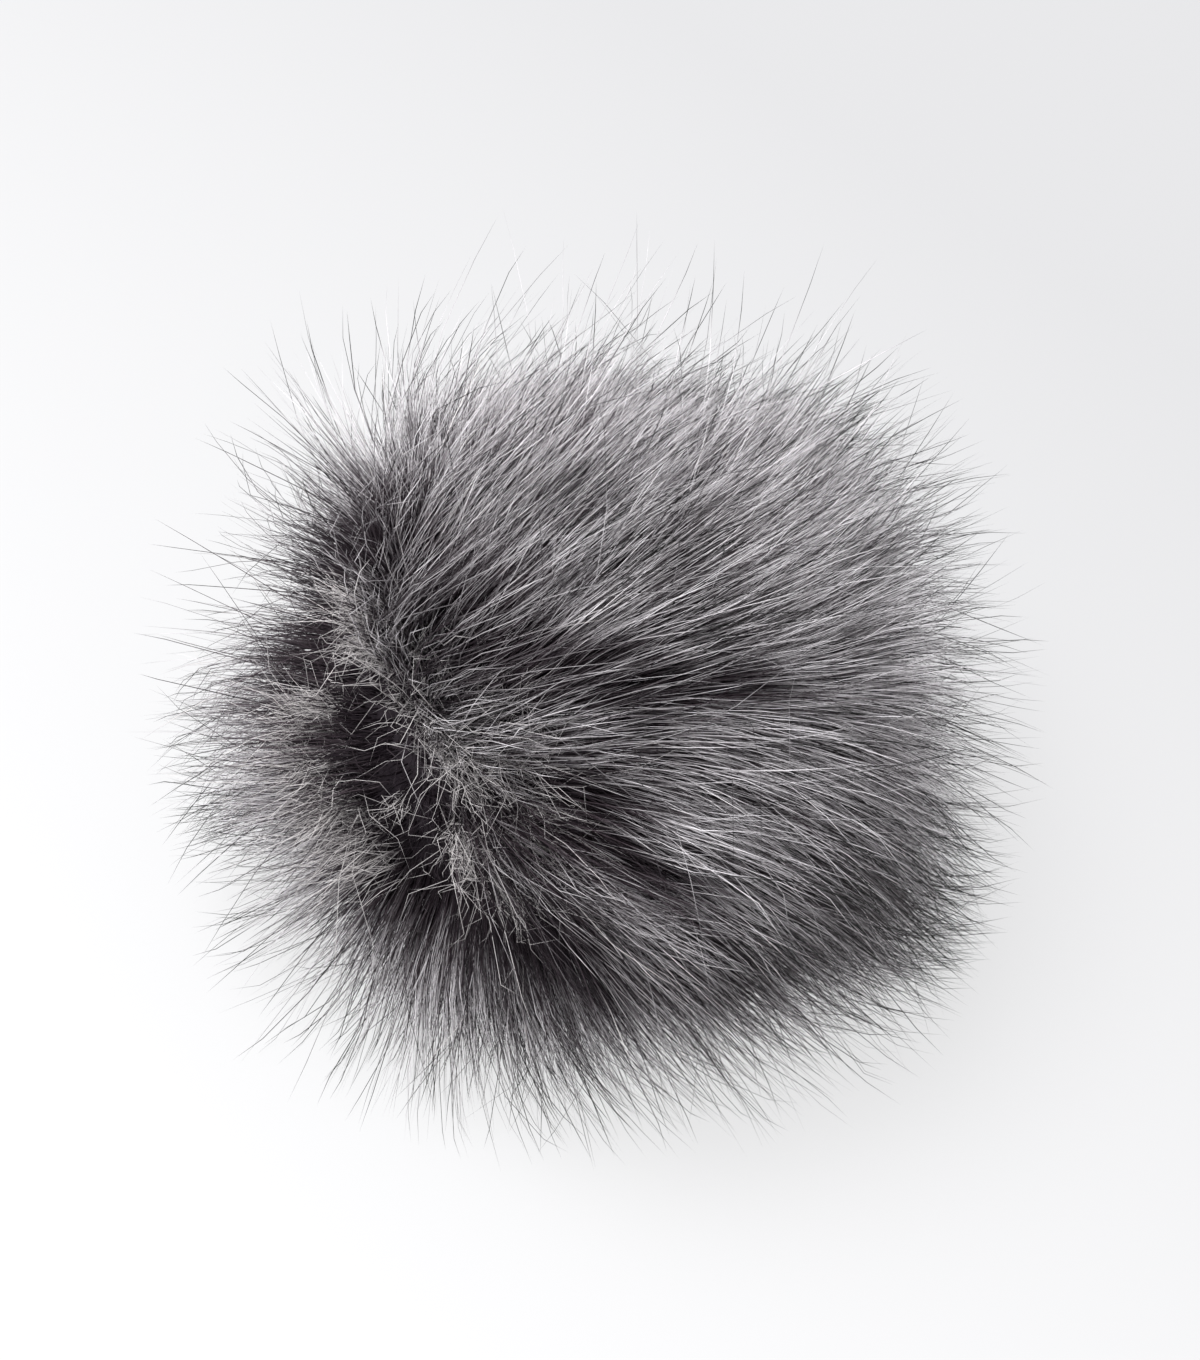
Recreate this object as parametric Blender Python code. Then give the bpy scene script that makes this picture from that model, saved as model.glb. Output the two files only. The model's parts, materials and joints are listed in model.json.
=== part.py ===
"""A faux-fur pom pom: one round of long-pile fur cloth gathered into a ball, lying on a surface.

The ball's matted inner pile is one lumpy body. The long pile stands on it as tapered locks, which
are short along a parting on the left, sweep over the ball from there, droop with their weight and
lie level where they meet the surface. Metres, +Z up, origin under the middle of the whole outline.
"""

import math

import bmesh
import bpy
import numpy as np

# Sizes, in metres
MATTED_RADIUS = 0.0370  # the dense inner pile that carries the locks
CENTRE_HEIGHT = 0.0420  # of the ball's middle above the surface
LOWER_DEPTH = 0.0460  # of the ball below its middle, before the surface presses its foot flat
LUMPS = 0.02  # spread of the inner pile's radius, as a share of it
LOCK_LENGTH = 0.0325
LENGTH_RANGE = (0.80, 1.12)  # of a lock, as shares of that length
LOCK_GAP = 0.0014  # between a lock's root and the edge of its seat
LOCK_SLENDERNESS = 0.13  # the most that a lock's half width is of its length
CROWN_DIMPLE = 0.0050  # how far the matted pile sinks along the parting
FLOOR_REACH = 0.0030  # height at which the surface starts to turn the pile aside
LOWEST_LOCK = 0.0003  # height that the lowest locks level out at
LOWEST_SEAT = 0.0015  # the ball's corners below this are pressed flat onto the surface

# The parting runs in great-circle steps through these directions from the ball's middle
PARTING = ((-0.93, 0.08, 0.36), (-0.89, -0.27, 0.36), (-0.77, -0.57, 0.28), (-0.70, -0.71, -0.03))
DIMPLE_ANGLE = math.radians(20)

# The side from which the comb's places are seen: the camera's
VIEW_RIGHT = (1.0, 0.0, 0.0)
VIEW_UP = (0.0, 0.766, 0.643)
VIEW_BACK = (0.0, -0.643, 0.766)

# How the pile is combed, by eye: a place right of and above the ball's middle, as shares of its
# outline, the way the tips point there, in degrees up from the right, and how far they lean
COMB = (
    (-0.40, 0.88, 60, 1.2),
    (-0.06, 0.93, 46, 1.4),
    (0.25, 0.95, 42, 1.4),
    (0.51, 0.85, 38, 1.3),
    (0.70, 0.69, 40, 1.1),
    (-0.56, 0.66, 52, 1.2),
    (-0.31, 0.69, 46, 1.5),
    (0.03, 0.68, 38, 1.7),
    (0.30, 0.68, 39, 1.7),
    (0.57, 0.66, 42, 1.5),
    (0.83, 0.53, 42, 1.1),
    (-0.62, 0.40, 42, 0.9),
    (-0.40, 0.40, 44, 1.3),
    (-0.09, 0.40, 36, 1.7),
    (0.20, 0.40, 35, 1.8),
    (0.47, 0.40, 33, 1.7),
    (0.75, 0.38, 30, 1.4),
    (0.95, 0.27, 28, 1.0),
    (-0.43, 0.15, 40, 1.2),
    (-0.12, 0.15, 38, 1.7),
    (0.15, 0.15, 32, 1.8),
    (0.40, 0.15, 22, 1.8),
    (0.67, 0.15, 16, 1.5),
    (0.96, 0.08, 6, 1.0),
    (-0.38, -0.06, 24, 1.2),
    (-0.12, -0.06, 20, 1.7),
    (0.15, -0.06, 10, 1.8),
    (0.40, -0.06, 0, 1.8),
    (0.67, -0.06, -14, 1.5),
    (0.97, -0.12, -15, 1.0),
    (-0.31, -0.23, 8, 1.3),
    (-0.03, -0.24, 0, 1.7),
    (0.23, -0.25, -8, 1.8),
    (0.47, -0.25, -20, 1.8),
    (0.72, -0.25, -35, 1.5),
    (0.94, -0.31, -36, 1.0),
    (-0.31, -0.41, -32, 1.2),
    (-0.03, -0.45, -14, 1.6),
    (0.23, -0.45, -12, 1.8),
    (0.47, -0.45, -22, 1.7),
    (0.71, -0.45, -42, 1.4),
    (0.86, -0.48, -42, 1.0),
    (-0.53, -0.62, -95, 1.2),
    (-0.28, -0.62, -60, 1.3),
    (0.00, -0.65, -38, 1.5),
    (0.25, -0.65, -17, 1.6),
    (0.50, -0.65, -26, 1.5),
    (0.71, -0.68, -42, 1.1),
    (-0.56, -0.80, -95, 1.0),
    (-0.31, -0.84, -72, 1.0),
    (-0.06, -0.88, -58, 1.0),
    (0.20, -0.89, -45, 1.0),
    (0.45, -0.86, -36, 1.0),
    (-0.74, 0.64, 168, 0.8),
    (-0.84, -0.51, 205, 0.8),
)
COMB_REACH = 0.23  # of a place, on a ball of radius 1
COMB_CALM = 0.04  # weight of the plain lean away from the parting, where no place reaches
COMB_DROOP = 0.19  # of the tips, already in the ways that they point
BEND = (0.60, 0.50)  # share of the comb's lean at the root, and what is added to it further out
BEND_HEIGHT = 0.020  # over the matted pile, where the whole of it is added

# How the pile lies: multiples of the outward direction
LEAN = 1.30  # away from the parting, out of the comb's reach
LEAN_FULL_ANGLE = math.radians(32)  # from the parting, where the lean reaches its full value
LEAN_FADE = (math.radians(60), math.radians(125))  # where it fades out again, round the back
UNDERSIDE = (0.20, 0.80)  # of the ball, as how steeply it faces down: from none of it to all
UNDERSIDE_LEAN = 0.10  # share of the lean that is left there
UNDERSIDE_SPREAD = 0.90  # sideways, out from under the ball
UNDERSIDE_LENGTH = 0.55  # share of a lock's length that is left there
DROOP = 0.35  # downwards, at the tips
WAVE = 0.06  # slow unevenness of the flow
WAVE_LENGTH = 0.030

# How long the pile is: shares of its length
PARTING_LENGTH = 0.30  # on the parting
PARTING_GROWN = (math.radians(5), math.radians(22))  # from the parting, where it grows to the rest
GROWTHS = (
    {"towards": (-0.10, 0.46, 0.88), "reach": 0.60, "growth": -0.40},
    {"towards": (0.72, 0.42, 0.55), "reach": 0.40, "growth": 0.06},
    {"towards": (0.55, -0.75, 0.15), "reach": 0.34, "growth": 0.40},
    {"towards": (0.80, -0.58, -0.14), "reach": 0.40, "growth": 0.12},
    {"towards": (0.10, -0.96, -0.28), "reach": 0.40, "growth": -0.08},
    {"towards": (0.90, -0.30, 0.15), "reach": 0.50, "growth": 0.08},
    {"towards": (-0.97, -0.05, -0.10), "reach": 0.55, "growth": 0.10},
    {"towards": (-0.72, -0.58, -0.36), "reach": 0.38, "growth": 0.12},
)

SEATS = 162  # corners of the net of triangles that the locks stand on
SEAT_JITTER = 0.035
SEED = 56

# One row for each ring of a lock: share of its length, share of its root's width
LOCK_RINGS = (
    {"along": 0.26, "width": 0.95},
    {"along": 0.52, "width": 0.78},
    {"along": 0.77, "width": 0.48},
    {"along": 1.00, "width": 0.00},
)
LOCK_STEPS = 6  # steps of the flow between two rings

FUR_COLOUR = (0.17, 0.165, 0.17, 1.0)
FUR_ROUGHNESS = 0.85


def unit(vectors: np.ndarray) -> np.ndarray:
    """The vectors at length 1."""
    return vectors / np.maximum(np.linalg.norm(vectors, axis=-1, keepdims=True), 1e-12)


def smooth(low: float, high: float, value: np.ndarray) -> np.ndarray:
    """0 below low, 1 above high, and an S curve between them."""
    share = np.clip((value - low) / (high - low), 0.0, 1.0)
    return share * share * (3.0 - 2.0 * share)


def nearest_on_parting(outward: np.ndarray) -> np.ndarray:
    """The point of the parting that is nearest to each outward direction, over all its steps."""
    closest = np.full(len(outward), -2.0)
    found = np.zeros(outward.shape)
    for start, end in zip(PARTING, PARTING[1:]):
        start, end = unit(np.array(start)), unit(np.array(end))
        across = unit(end - (end @ start) * start)
        length = math.acos(float(start @ end))
        angle = np.arctan2(outward @ across, outward @ start)
        # Directions behind the step's middle belong to its nearer end.
        angle = np.where(angle < length / 2 - math.pi, angle + 2 * math.pi, angle)
        angle = np.clip(angle, 0.0, length)
        point = np.outer(np.cos(angle), start) + np.outer(np.sin(angle), across)
        close = (outward * point).sum(1)
        found = np.where((close > closest)[:, None], point, found)
        closest = np.maximum(close, closest)
    return found


def parting_angle(outward: np.ndarray) -> np.ndarray:
    """How far each direction lies from the parting, in radians."""
    nearest = nearest_on_parting(outward)
    return np.arccos(np.clip((nearest * outward).sum(1), -1.0, 1.0))


def seen(right: np.ndarray, up: np.ndarray, back: np.ndarray) -> np.ndarray:
    """Vectors with these shares right, up and back as the camera sees them."""
    return np.stack((right, up, back), 1) @ np.array((VIEW_RIGHT, VIEW_UP, VIEW_BACK))


def comb_runs() -> tuple[np.ndarray, np.ndarray]:
    """The comb's places on the ball, and the run of the pile across it at each of them.

    A run lies level on the ball. The outward direction, the run and the droop together point, as
    the camera sees them, the way that the comb's row says: they have no part beside that way.
    """
    right, up, way, lean = np.array(COMB).T
    way = np.radians(way)
    places = seen(right, up, np.sqrt(1 - right**2 - up**2))
    beside = seen(-np.sin(way), np.cos(way), np.zeros(len(way)))
    side = (places * beside).sum(1)
    level = unit(beside - side[:, None] * places)
    onward = unit(np.cross(beside, places))
    turned = (COMB_DROOP * beside[:, 2] - side) / (lean * np.sqrt(1 - side**2))
    turned = np.clip(turned, -0.95, 0.95)
    runs = turned[:, None] * level + np.sqrt(1 - turned**2)[:, None] * onward
    return places, lean[:, None] * runs


def combed(outward: np.ndarray, plain: np.ndarray) -> np.ndarray:
    """The comb's runs, blended with bell-shaped weights about its places, and with a plain lean."""
    places, runs = comb_runs()
    weights = np.exp((outward @ places.T - 1) * (2 / COMB_REACH**2))
    run = (weights @ runs + COMB_CALM * plain) / (weights.sum(1, keepdims=True) + COMB_CALM)
    return run - (run * outward).sum(1, keepdims=True) * outward


def slow_wave(reach: np.ndarray) -> np.ndarray:
    """A smooth vector field of crossed sine waves, about WAVE_LENGTH from crest to crest."""
    x, y, z = (reach * (2 * math.pi / WAVE_LENGTH)).T
    return np.stack(
        (
            np.sin(y + 1.3) + np.sin(0.7 * z + 0.4),
            np.sin(z + 2.1) + np.sin(0.8 * x + 1.9),
            np.sin(x + 0.2) + np.sin(0.6 * y + 2.7),
        ),
        1,
    )


def pile_direction(points: np.ndarray, centre: np.ndarray) -> np.ndarray:
    """Which way the pile runs at each point: one smooth flow, whose lines never cross."""
    reach = points - centre
    outward = unit(reach)
    height = np.linalg.norm(reach, axis=1) - MATTED_RADIUS
    nearest = nearest_on_parting(outward)
    angle = parting_angle(outward)
    away = unit(outward * (nearest * outward).sum(1)[:, None] - nearest)
    lean = LEAN * smooth(0.0, LEAN_FULL_ANGLE, angle) * (1 - smooth(*LEAN_FADE, angle))
    under = smooth(*UNDERSIDE, -outward[:, 2])
    lean = lean * (1 - (1 - UNDERSIDE_LEAN) * under)
    bend = BEND[0] + BEND[1] * smooth(0.0, BEND_HEIGHT, height)
    flow = outward + bend[:, None] * combed(outward, lean[:, None] * away)
    flow += WAVE * slow_wave(reach)
    flow[:, :2] += UNDERSIDE_SPREAD * under[:, None] * unit(outward[:, :2])
    flow[:, 2] -= DROOP * smooth(0.0, LOCK_LENGTH, height)
    down = flow[:, 2] < 0
    lift = 1 - np.exp(-np.maximum(points[:, 2] - LOWEST_LOCK, 0.0) / FLOOR_REACH)
    flow[:, 2] = np.where(down, flow[:, 2] * lift, flow[:, 2])
    return unit(flow)


def length_share(outward: np.ndarray) -> np.ndarray:
    """How much of its full length the pile has: less on the parting and where it faces down."""
    share = np.ones(len(outward))
    for patch in GROWTHS:
        apart = np.arccos(np.clip(outward @ unit(np.array(patch["towards"])), -1.0, 1.0))
        share += patch["growth"] * np.exp(-((apart / patch["reach"]) ** 2))
    share *= 1 - (1 - UNDERSIDE_LENGTH) * smooth(*UNDERSIDE, -outward[:, 2])
    grown = smooth(*PARTING_GROWN, parting_angle(outward))
    return share * (PARTING_LENGTH + (1 - PARTING_LENGTH) * grown)


def follow_pile(points: np.ndarray, length: np.ndarray, centre: np.ndarray) -> np.ndarray:
    """The points moved along the flow by these lengths, in LOCK_STEPS midpoint steps."""
    step = (length / LOCK_STEPS)[:, None]
    for _ in range(LOCK_STEPS):
        half = points + 0.5 * step * pile_direction(points, centre)
        points = points + step * pile_direction(half, centre)
    return points


def seat_net(rng: np.random.Generator) -> tuple[np.ndarray, np.ndarray]:
    """A ball of evenly spread, slightly uneven triangles: the hull of a jittered spiral of points.

    Returns the corners as directions from the ball's middle, and each triangle's three corners in
    the order that faces outwards. The triangles are sorted, so that their order is always the same.
    """
    index = np.arange(SEATS) + 0.5
    up = 1 - 2 * index / SEATS
    turn = math.pi * (1 + math.sqrt(5)) * index
    side = np.sqrt(1 - up * up)
    points = np.stack((side * np.cos(turn), side * np.sin(turn), up), 1)
    points = unit(points + SEAT_JITTER * rng.standard_normal(points.shape))
    net = bmesh.new()
    for point in points:
        net.verts.new(point)
    bmesh.ops.convex_hull(net, input=net.verts)
    net.verts.index_update()
    triangles = np.array([sorted(vert.index for vert in face.verts) for face in net.faces])
    net.free()
    triangles = triangles[np.lexsort(triangles.T[::-1])]
    first, second, third = points[triangles].transpose(1, 0, 2)
    inside_out = (np.cross(second - first, third - first) * first).sum(1) < 0
    triangles[inside_out] = triangles[inside_out][:, ::-1]
    return points, triangles


def matted_ball(outward: np.ndarray, centre: np.ndarray, rng: np.random.Generator) -> np.ndarray:
    """The net's corners on the matted pile: lumpy, dimpled at the parting, deeper and flat below."""
    angle = parting_angle(outward)
    radius = MATTED_RADIUS * (1 + LUMPS * rng.standard_normal(len(outward)))
    radius -= CROWN_DIMPLE * np.exp(-((angle / DIMPLE_ANGLE) ** 2))
    reach = outward * radius[:, None]
    reach[:, 2] *= np.where(outward[:, 2] < 0, LOWER_DEPTH / MATTED_RADIUS, 1.0)
    points = centre + reach
    points[:, 2] = np.where(points[:, 2] < LOWEST_SEAT, 0.0, points[:, 2])
    return points


def inset(corners: np.ndarray, gap: float) -> np.ndarray:
    """Triangles shrunk about the middle of their inner circle, so each side moves in by the gap."""
    facing = np.linalg.norm(corners[:, [2, 0, 1]] - corners[:, [1, 2, 0]], axis=2)
    whole = facing.sum(1)
    middle = (corners * facing[:, :, None]).sum(1) / whole[:, None]
    area = np.linalg.norm(
        np.cross(corners[:, 1] - corners[:, 0], corners[:, 2] - corners[:, 0]), axis=1
    )
    share = 1 - gap * whole / area
    return middle[:, None] + share[:, None, None] * (corners - middle[:, None])


def spread_of(corners: np.ndarray, middles: np.ndarray) -> np.ndarray:
    """How far each lock's furthest corner lies from its middle line."""
    return np.linalg.norm(corners - middles[:, None], axis=2).max(1)


def lock_rings(seats: np.ndarray, centre: np.ndarray, rng: np.random.Generator) -> list:
    """Each lock's triangular rings, from its root to the last one, which closes it in a point.

    Each corner of a ring follows the flow from its own root corner and is then drawn in towards
    the lock's middle line, so that neighbouring locks keep apart however they bend. Where the
    flow spreads, a lock is drawn in further, and doesn't grow wider than its root.
    """
    corners = inset(seats, LOCK_GAP)
    middles = corners.mean(1)
    outward = unit(middles - centre)
    length = LOCK_LENGTH * rng.uniform(*LENGTH_RANGE, len(seats)) * length_share(outward)
    root = np.minimum(spread_of(corners, middles), LOCK_SLENDERNESS * length)
    rings = [corners]
    done = 0.0
    for ring in LOCK_RINGS:
        step = (ring["along"] - done) * length
        done = ring["along"]
        middles = follow_pile(middles, step, centre)
        corners = follow_pile(corners.reshape(-1, 3), np.repeat(step, 3), centre).reshape(-1, 3, 3)
        width = ring["width"] * np.minimum(1.0, root / spread_of(corners, middles))
        rings.append(middles[:, None] + width[:, None, None] * (corners - middles[:, None]))
    return rings


def sew_body(points: np.ndarray, triangles: np.ndarray, rings: list, seats: np.ndarray) -> tuple:
    """One closed surface of the net's bare triangles and, on its seats, the locks.

    A band of four-sided faces joins each ring to the next, from the seat's own edge outwards, and
    three triangles close the last band at the tip.
    """
    count = len(seats)
    first = len(points)
    level = [triangles[seats]]
    for number in range(len(rings) - 1):
        level.append(first + number * 3 * count + np.arange(3 * count).reshape(-1, 3))
    tips = first + (len(rings) - 1) * 3 * count + np.arange(count)
    corners = [points] + [ring.reshape(-1, 3) for ring in rings[:-1]] + [rings[-1][:, 0]]
    faces = triangles[~np.isin(np.arange(len(triangles)), seats)].tolist()
    for near, far in zip(level, level[1:]):
        for side in range(3):
            turn = (side + 1) % 3
            band = (near[:, side], near[:, turn], far[:, turn], far[:, side])
            faces += np.stack(band, 1).tolist()
    for side in range(3):
        faces += np.stack((level[-1][:, side], level[-1][:, (side + 1) % 3], tips), 1).tolist()
    return np.concatenate(corners), faces


def fur_material() -> bpy.types.Material:
    """Grey fur, seen from a step away."""
    material = bpy.data.materials.new("grey_fur")
    material.use_nodes = True
    shader = material.node_tree.nodes["Principled BSDF"]
    shader.inputs["Base Color"].default_value = FUR_COLOUR
    shader.inputs["Roughness"].default_value = FUR_ROUGHNESS
    shader.inputs["Metallic"].default_value = 0.0
    return material


def build_pompom() -> bpy.types.Object:
    """The whole pom pom as one closed body, the middle of its outline over the origin."""
    rng = np.random.default_rng(SEED)
    centre = np.array((0.0, 0.0, CENTRE_HEIGHT))
    outward, triangles = seat_net(rng)
    points = matted_ball(outward, centre, rng)
    seats = np.flatnonzero(points[triangles][:, :, 2].min(1) > 0.0)
    rings = lock_rings(points[triangles[seats]], centre, rng)
    corners, faces = sew_body(points, triangles, rings, seats)
    middle = (corners.min(0) + corners.max(0)) / 2
    corners[:, :2] -= middle[:2]
    mesh = bpy.data.meshes.new("fur_ball")
    mesh.from_pydata(corners.tolist(), [], faces)
    mesh.shade_smooth()
    mesh.set_sharp_from_angle(angle=math.radians(50))
    mesh.materials.append(fur_material())
    pompom = bpy.data.objects.new("fur_ball", mesh)
    bpy.context.scene.collection.objects.link(pompom)
    print(f"{len(seats)} locks; the ball stands over x {-middle[0]:.5f}, y {-middle[1]:.5f}")
    return pompom


for old in list(bpy.data.objects):
    bpy.data.objects.remove(old)
build_pompom()
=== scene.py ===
"""The looks of a grey faux-fur pom pom: a matted inner ball under tens of thousands of hairs.

The hairs stand on the inner ball and follow one flow, which parts along a short line on the left.
They gather into clumps, and their colour runs in bands from charcoal roots over a silver-grey
middle to near-black tips. Metres, +Z up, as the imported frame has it.
"""

import json
import logging
import math
from dataclasses import dataclass, field
from enum import Enum
from functools import cache

import bpy
import numpy as np
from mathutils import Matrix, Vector

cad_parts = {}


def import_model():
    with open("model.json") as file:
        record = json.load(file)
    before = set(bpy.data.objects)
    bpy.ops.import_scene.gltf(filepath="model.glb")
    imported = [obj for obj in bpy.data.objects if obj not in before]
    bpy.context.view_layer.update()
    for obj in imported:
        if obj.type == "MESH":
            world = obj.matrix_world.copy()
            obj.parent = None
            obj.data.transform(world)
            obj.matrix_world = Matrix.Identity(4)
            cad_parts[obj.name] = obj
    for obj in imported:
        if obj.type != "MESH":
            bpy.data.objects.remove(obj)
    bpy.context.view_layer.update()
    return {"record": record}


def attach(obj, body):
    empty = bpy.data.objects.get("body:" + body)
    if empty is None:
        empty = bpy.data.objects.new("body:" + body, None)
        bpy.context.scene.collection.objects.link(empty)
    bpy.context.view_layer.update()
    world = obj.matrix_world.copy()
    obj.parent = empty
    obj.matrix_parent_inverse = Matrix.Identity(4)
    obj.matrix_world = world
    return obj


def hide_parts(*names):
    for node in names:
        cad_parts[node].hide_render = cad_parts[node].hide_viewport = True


NODE = "fur_ball"
BODY = "root"
UV_MAP = "OFBake"
SEED = 2024
MILLIMETRE = 0.001
ELEVATION = math.radians(50)  # of the camera
CENTRE_HEIGHT = 0.0420  # of the ball's middle above its spot to rest on
LOOK_RIGHT = 0.0040  # of the camera's target from the ball's middle
LOOK_UP = 0.0015
SIDES = 3  # corners of a hair's cross-section
TONE_STRIP = 0.004  # width of a hair's strip of the colour layout
TUFT_LENGTH = 14.0  # of an average tuft, in millimetres
MOST_TURNED = 0.95  # share of a run that may lie beside the way its tips point
MOST_PULLED = 0.95  # share of the way to a clump's middle that a hair may gather
SLICE = 4000  # hairs whose clumps are found at once

COLOUR = "NodeSocketColor"
NUMBER = "NodeSocketFloat"
VECTOR = "NodeSocketVector"
BAND_COLOURS = ("Root", "Pale Root", "Shade", "Light", "Tip")
BAND_PLACES = ("Root End", "Middle Start", "Tip Start", "Tip End")

log = logging.getLogger("pompom")

Array = np.ndarray
Material = bpy.types.Material
Mesh = bpy.types.Mesh
Node = bpy.types.Node
Object = bpy.types.Object
Socket = bpy.types.NodeSocket
Tree = bpy.types.NodeTree
Colour = tuple[float, float, float, float]
Direction = tuple[float, float, float]
Source = Socket | Colour | Direction | float


def linear(red: float, green: float, blue: float) -> Colour:
    """Turns a display colour, each channel from 0 to 255, into the scene's linear one."""
    shares = (channel / 255.0 for channel in (red, green, blue))
    return (*((s / 12.92) if s <= 0.04045 else ((s + 0.055) / 1.055) ** 2.4 for s in shares), 1.0)


def gloss(roughness: float, specular: float) -> dict:
    """Returns a gloss by the names of the shader's inputs."""
    return {"Roughness": roughness, "Specular IOR Level": specular}


def unit(vectors: Array) -> Array:
    """Returns the vectors at length 1."""
    return vectors / np.maximum(np.linalg.norm(vectors, axis=-1, keepdims=True), 1e-12)


def smooth(low: float, high: float, value: Array) -> Array:
    """Returns 0 below low, 1 above high, and between them 3t^2 - 2t^3 of the share t."""
    share = np.clip((value - low) / (high - low), 0.0, 1.0)
    return share * share * (3.0 - 2.0 * share)


def angle_between(outward: Array, directions: Array) -> Array:
    """Returns the angles, in radians, between unit vectors, which broadcast against each other."""
    return np.arccos(np.clip((outward * directions).sum(-1), -1.0, 1.0))


class Layer(Enum):
    """The coats of hair, from the shortest under the others to the single hairs over them."""

    UNDERCOAT = "undercoat"
    LONG_PILE = "long_pile"
    GUARD_HAIR = "guard_hair"
    TUFT = "parting_tuft"
    CROSSING = "crossing_hair"
    STRAY = "stray_hair"


@dataclass(frozen=True)
class HairFinish:
    """Colours of a coat of hair, as bands along each hair, and its gloss.

    mottle is how finely its tone varies across and along the hairs, and uneven how strongly.
    """

    root: Colour = linear(33, 26, 32)
    pale_root: Colour = linear(80, 70, 76)
    shade: Colour = linear(52, 43, 48)
    light: Colour = linear(251, 247, 251)
    tip: Colour = linear(24, 26, 24)
    root_end: float = 0.20
    middle_start: float = 0.55
    tip_start: float = 0.80
    tip_end: float = 0.97
    roughness: float = 0.40
    specular: float = 0.12
    mottle: Direction = (60.0, 4.0, 1.0)
    uneven: float = 0.5

    def bands(self) -> dict:
        """Returns the bands' colours and places by the names of their group's inputs."""
        names = (*BAND_COLOURS, *BAND_PLACES)
        return {name: getattr(self, name.lower().replace(" ", "_")) for name in names}


@dataclass(frozen=True)
class MattedFinish:
    """Colours and relief of the matted fibres at the roots of the pile."""

    dark: Colour = linear(34, 28, 34)
    pale: Colour = linear(60, 53, 59)
    roughness: float = 0.92
    specular: float = 0.15
    relief: float = 0.0006
    strength: float = 0.8
    fineness: float = 420.0
    contrast: float = 1.6


@dataclass(frozen=True)
class HairCoat:
    """How one coat of hair is cut and how it lies. Lengths in metres.

    stations are shares of a hair's length, from its root at 0 to its tip at 1. fray is how far the
    tips scatter, and frizz the height of their waves, frizz_length from crest to crest. tone is the
    middle and spread of its lightness, and ends are the lowest and highest places along the colour
    bands at which its tips stop. pull_fine and pull_coarse are how far its hairs gather to the
    middle of a fine and of a coarse clump. lift is how far the palest tips stand off over the
    darkest ones. near is the angle from the parting within which a coat grows, bare the one within
    which it thins out, and short the share of its length that is left on the parting. A tufted
    coat grows in the tufts of the table alone. taper is the share of the width that is gone near
    the tip.
    """

    hairs: int
    length: float
    length_range: tuple[float, float]
    half_width: float
    stations: tuple[float, ...]
    fray: float
    frizz: float
    frizz_length: float
    tone: tuple[float, float]
    ends: tuple[float, float]
    finish: HairFinish
    pull_fine: float = 0.0
    pull_coarse: float = 0.0
    lift: float = 0.0
    near: float = math.pi
    bare: float = 0.0
    short: float = 0.26
    tufted: bool = False
    taper: float = 0.45
    pieces: int = 1


@dataclass(frozen=True)
class Arc:
    """A line on the ball: great-circle steps through directions from its middle.

    fade holds the shares of a width at which its cover starts to fade and has gone.
    """

    through: tuple[Direction, ...]
    fade: tuple[float, float] = (0.3, 1.2)

    def nearest(self, outward: Array) -> Array:
        """Finds the line's nearest point to each direction.

        For each step, a direction's angle in the plane of the step is held between the step's two
        ends. The nearest of these points is kept.

        Args:
            outward: unit vectors from the ball's middle.

        Returns:
            Unit vectors from the ball's middle to the line.
        """
        closest = np.full(outward.shape[:-1], -2.0)  # lower than any cosine
        found = np.zeros(outward.shape)
        for start, end in zip(self.through, self.through[1:]):
            start, end = unit(np.array(start)), unit(np.array(end))
            across = unit(end - (end @ start) * start)
            length = math.acos(float(start @ end))
            angle = np.arctan2(outward @ across, outward @ start)
            angle = np.where(angle < length / 2 - math.pi, angle + 2 * math.pi, angle)
            angle = np.clip(angle, 0.0, length)[..., None]
            point = np.cos(angle) * start + np.sin(angle) * across
            close = (outward * point).sum(-1)
            found = np.where((close > closest)[..., None], point, found)
            closest = np.maximum(close, closest)
        return found

    def angle(self, outward: Array) -> Array:
        """Returns how far each direction lies from the line, in radians."""
        return angle_between(outward, self.nearest(outward))

    def cover(self, outward: Array, width: float) -> Array:
        """Returns 1 along the line, fading out towards width radians from it."""
        return 1 - smooth(*(share * width for share in self.fade), self.angle(outward))


PARTING = Arc(
    through=((-0.93, 0.08, 0.36), (-0.89, -0.27, 0.36), (-0.77, -0.57, 0.28), (-0.70, -0.71, -0.03))
)

# what is right, up and back for the camera
VIEW = np.array(((1.0, 0.0, 0.0), (0.0, 0.766, 0.643), (0.0, -0.643, 0.766)))

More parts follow.
